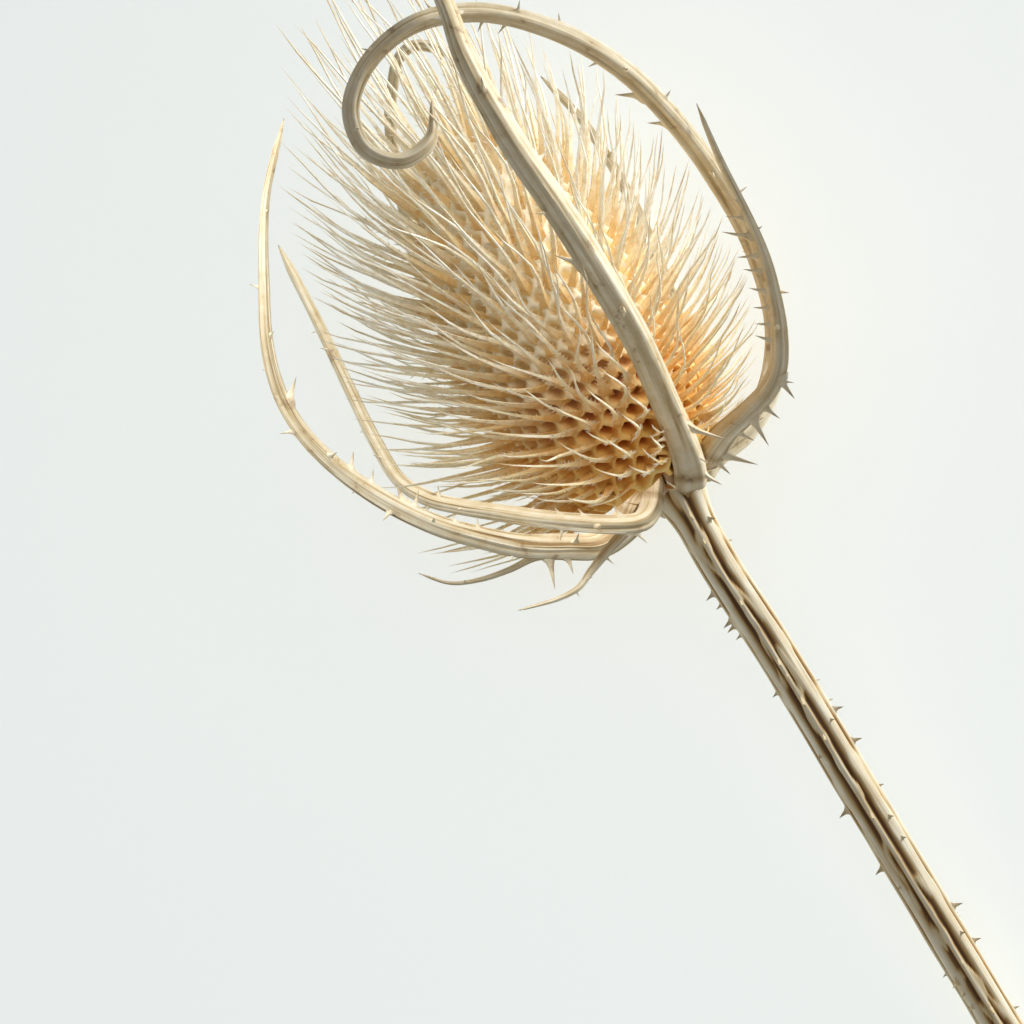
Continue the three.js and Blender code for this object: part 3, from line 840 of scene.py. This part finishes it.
def make_spines():
    """A spine on the wall of each cell, short ones under the core's edge and small combs on the collar."""
    chance = random.Random(7)
    patterns = [make_spine(1.0, 0.7, 6, 0.85, 0.42), make_spine(1.3, -1.2, 5, 0.8, 0.4),
                make_spine(0.8, 1.4, 5, 0.85, 0.38), make_spine(1.1, -0.5, 6, 0.8, 0.45)]
    low_pattern = make_spine(1.1, 0.6, 9, 0.95, 0.36)
    is_clear = spine_clearance()
    spines = []

    def add_spine(pattern, matrix, u):
        spine = placed_copy(pattern, matrix)
        note_values(spine, "tone", np.full(len(spine.data.vertices), chance.random()))
        note_values(spine, "height", np.full(len(spine.data.vertices), smooth(u, 0.1, 0.55)))
        spines.append(spine)

    for azimuth, z, centre in zip(*cell_centres()):
        u = (z - CORE_BOTTOM) / CORE_HEIGHT
        length = (SIDE_SPINE + (TOP_SPINE - SIDE_SPINE) * u ** 5) * chance.uniform(0.9, 1.16)
        length *= 1.12 - 0.1 * math.cos(azimuth)
        lean_x = Matrix.Rotation(chance.gauss(0, 0.06), 4, "X")
        tilt = lean_x @ Matrix.Rotation(chance.gauss(0, 0.06), 4, "Y")
        roll = Matrix.Rotation(chance.gauss(0, 0.35), 4, "Z")
        pattern = patterns[chance.randrange(4)] if u > 0.16 else low_pattern
        root = Vector(centre) - Vector((0, 0, 1.2)) if u > 0.04 else Vector(centre)
        if root.z < CORE_BOTTOM + 0.35:
            continue
        places = (spine_place(root, azimuth, z, swing, tilt, roll, length * share / SIDE_SPINE)
                  for share in (1, 0.8, 0.6, 0.4, 0.25) for swing in (0, 0.14, -0.14, 0.28, -0.28))
        place = next((place for place in places if is_clear(place)), None)
        if place is not None:
            add_spine(pattern, place, u)

    for k in range(UNDER_SPINES):
        azimuth = 2 * math.pi * (k + 0.5 * chance.random()) / UNDER_SPINES
        edge = float(core_radius(CORE_BOTTOM + 0.5)) - 0.3
        root = around(azimuth, edge, CORE_BOTTOM + 0.5) + Vector((CORE_SHIFT, 0, 0))
        place = (Matrix.Translation(root) @ spine_lie(azimuth, CORE_BOTTOM, chance.gauss(0, 0.15))
                 @ Matrix.Diagonal((1, 1, chance.uniform(0.45, 0.75), 1)))
        if is_clear(place):
            add_spine(low_pattern, place, 0)

    for k in range(COLLAR_COMBS):
        azimuth = 2 * math.pi * (k + 0.6 * chance.random()) / COLLAR_COMBS
        root = around(azimuth, float(stem_radius(-0.6)) - 0.1, -0.6 - chance.random())
        size = Matrix.Diagonal((0.9, 0.9, chance.uniform(0.2, 0.32), 1))
        lie = spine_lie(azimuth, CORE_BOTTOM, chance.gauss(0, 0.3))
        add_spine(low_pattern, Matrix.Translation(root) @ lie @ size, 0)

    discard(*patterns, low_pattern)
    join_to(spines[0], spines[1:])
    return spines[0]


# Surroundings

def make_floor():
    """The pale surface that the plant lies on."""
    bpy.ops.object.select_all(action="DESELECT")
    bpy.ops.mesh.primitive_plane_add(size=6)
    floor = bpy.context.object
    floor.name = "floor"
    paint = Finish("pale_surface", 0.9)
    paint.color(paint.ramp(paint.speckle(3, 2), [(0.3, (0.85, 0.9, 0.895)), (0.7, (0.87, 0.915, 0.91))]))
    floor.data.materials.append(paint.material)
    return floor


def soft_light(name, heading, size, power, lit, shadow, color=(1, 0.99, 0.97)):
    """A round lamp 0.9 m from the head, for the pieces listed; its heading is made of shares of the
    picture's right, the picture's top and the viewer."""
    bpy.ops.object.select_all(action="DESELECT")
    bpy.ops.object.light_add(type="AREA")
    lamp = bpy.context.object
    lamp.name = name
    lamp.data.shape, lamp.data.size = "DISK", size
    lamp.data.energy, lamp.data.color = power, color
    lamp.data.use_shadow = shadow
    right, top, viewer = heading
    towards = (VIEW_RIGHT * right + VIEW_UP * top + Vector((0, -viewer, 0))).normalized()
    aim = LYING @ Vector((0, 0, 20))
    lamp.location = LYING @ (Vector((0, 0, 20)) + towards * 900)
    lamp.rotation_euler = (lamp.location - aim).to_track_quat("Z", "Y").to_euler()
    lit_pieces = bpy.data.collections.new(name + "_lights")
    for piece in lit:
        lit_pieces.objects.link(piece)
    lamp.light_linking.receiver_collection = lit_pieces


def make_lights(plant, floor):
    """A dim room, with a soft window high on the right and weaker light from above and from the left."""
    world = bpy.data.worlds.new("soft_room")
    bpy.context.scene.world = world
    world.use_nodes = True
    sky = world.node_tree.nodes["Background"]
    sky.inputs["Color"].default_value = (1.0, 0.98, 0.95, 1)
    sky.inputs["Strength"].default_value = 0.3
    bpy.context.scene.view_settings.view_transform = "Standard"

    def named(*names):
        return [piece for piece in plant if piece.name in names]

    front, right, far_left = named("front_bract"), named("right_bract"), named("wide_left_bract")
    thin = named("thin_front_bract", "thin_back_bract")
    head = named("seed_head_core", "seed_head_spines")
    others = [piece for piece in plant if piece not in front + right]
    soft_light("window", (0.68, 0.68, 0.12), 0.4, 8.4, others, True)
    soft_light("front_window", (0.68, 0.68, 0.35), 0.4, 10.5, front, False)
    soft_light("right_window", (0.68, 0.68, 0.12), 0.4, 1, right, True)
    soft_light("head_light", (0.1, 0.72, 0.68), 0.6, 5.2, head, True)
    soft_light("left_window", (-0.35, 0.75, 0.55), 0.6, 9, named("low_left_bract"), False)
    soft_light("far_left_window", (-0.3, 0.7, 0.65), 0.6, 11.5, far_left, False)
    soft_light("low_window", (-0.2, 0.85, 0.45), 0.6, 12, thin, True)
    soft_light("surface_light", (0, 0.1, 1), 1.2, 7.9, [floor], False, color=(1, 1, 1))


def make_camera():
    bpy.ops.object.camera_add()
    camera = bpy.context.object
    camera.name = "viewer"
    turned = LYING.to_3x3().normalized()
    turn = Matrix((turned @ VIEW_RIGHT, turned @ VIEW_UP, -AWAY)).transposed().to_4x4()
    camera.matrix_world = Matrix.Translation(LYING @ VIEWER_AT) @ turn
    camera.data.lens, camera.data.sensor_width = 137, 36
    camera.data.clip_start, camera.data.clip_end = 0.01, 20
    bpy.context.scene.camera = camera


dry_stalk, pale_bract = stalk_finish(), bract_finish()
prickle_pattern = make_prickle()
plant = [finish_piece(make_stem(prickle_pattern), "stem_stalk", "stem", dry_stalk)]
for name, (node, *_) in BRACTS.items():
    plant.append(finish_piece(make_bract(name, prickle_pattern), name, node, pale_bract))
discard(prickle_pattern)
plant.append(finish_piece(make_core(), "seed_head_core", "seed_head", cell_finish()))
plant.append(finish_piece(make_spines(), "seed_head_spines", "seed_head", spine_finish()))
make_lights(plant, make_floor())
make_camera()
